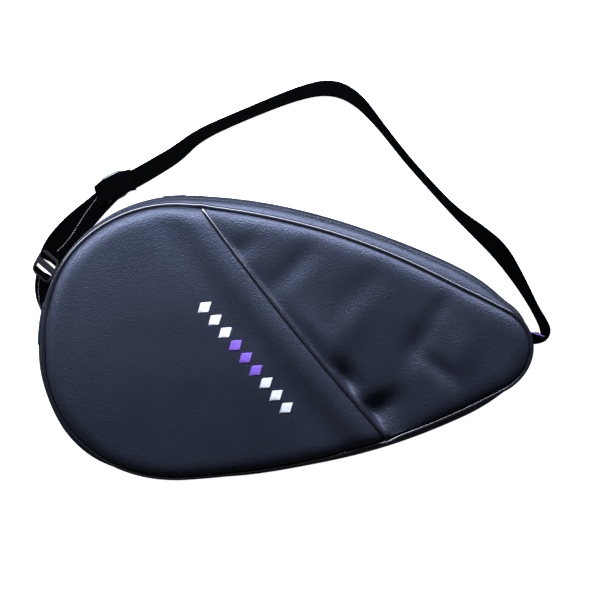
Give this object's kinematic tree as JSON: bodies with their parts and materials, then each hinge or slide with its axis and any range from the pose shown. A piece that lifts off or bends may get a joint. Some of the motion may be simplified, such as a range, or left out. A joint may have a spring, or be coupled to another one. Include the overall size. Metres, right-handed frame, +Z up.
{
  "type": "paddle case",
  "caption": "Padded teardrop paddle case of black faux leather: piped rims, diagonal front seam, side zipper and an adjustable webbing shoulder strap.",
  "frame": {"origin": "middle of the case's plan box, on the table under the back panel", "axes": "+X towards the narrow tip, +Y towards the zipper side, +Z up out of the front panel"},
  "size_m": [0.5311, 0.3971, 0.0658],
  "materials": {
    "leather": "pebbled, soft satin sheen",
    "piping": "glossy",
    "foam": "matt foam",
    "lining": "woven nylon",
    "zip_tape": "woven tape",
    "zip_coil": "nylon coil",
    "zip_metal": "black enamel",
    "white_thread": "satin stitch",
    "purple_thread": "satin stitch",
    "webbing": "ribbed nylon webbing",
    "buckle": "moulded acetal"
  },
  "bodies": {
    "root": {"back_panel": "leather", "back_rim_piping": "piping", "back_foam": "foam", "back_lining": "lining", "plain_gusset": "leather", "back_zip_gusset": "leather", "back_zip_tape": "zip_tape", "back_zip_coil": "zip_coil", "tip_zip_stop": "zip_metal", "head_zip_stop": "zip_metal", "head_patch": "leather", "tip_patch": "leather", "head_anchor": "webbing", "tip_anchor": "webbing", "tip_bartack": "purple_thread", "head_tab": "webbing", "loop_buckle": "buckle", "shoulder_strap": "webbing", "strap_tail": "webbing"},
    "lid": {"front_head_panel": "leather", "front_tip_panel": "leather", "diagonal_piping": "piping", "front_rim_piping": "piping", "front_foam": "foam", "front_lining": "lining", "front_zip_gusset": "leather", "front_zip_tape": "zip_tape", "front_zip_coil": "zip_coil", "white_motif": "white_thread", "purple_motif": "purple_thread"},
    "head_slider": {"head_slider": "zip_metal"},
    "head_pull": {"head_pull": "zip_metal"},
    "side_slider": {"side_slider": "zip_metal"},
    "side_pull": {"side_pull": "zip_metal"},
    "adjuster": {"tri_glide": "buckle"}
  },
  "joints": [
    {"name": "lid_open", "type": "hinge", "parent": "root", "child": "lid", "pos_m": [0, -0.1363, 0.056], "axis": [1, 0, 0], "range_deg": [0, 18]},
    {"name": "head_slider_travel", "type": "hinge", "parent": "root", "child": "head_slider", "pos_m": [-0.101, 0, 0.02], "axis": [0, 0, 1], "range_deg": [0, 8]},
    {"name": "head_pull_swing", "type": "hinge", "parent": "head_slider", "child": "head_pull", "pos_m": [-0.09733, 0.14572, 0.01921], "axis": [-0.0238, -0.3412, -0.9397], "range_deg": [0, 110]},
    {"name": "side_slider_travel", "type": "hinge", "parent": "root", "child": "side_slider", "pos_m": [-0.13962, -0.55265, 0.02], "axis": [0, 0, 1], "range_deg": [-25.5, 0]},
    {"name": "side_pull_swing", "type": "hinge", "parent": "side_slider", "child": "side_pull", "pos_m": [-0.08436, 0.14481, 0.01921], "axis": [0.0238, 0.3412, 0.9397], "range_deg": [0, 110]},
    {"name": "adjuster_slide", "type": "slide", "parent": "root", "child": "adjuster", "axis": [0.8831, 0.4692, 0], "range_m": [0, 0.1], "deforming": ["strap_tail"]}
  ]
}
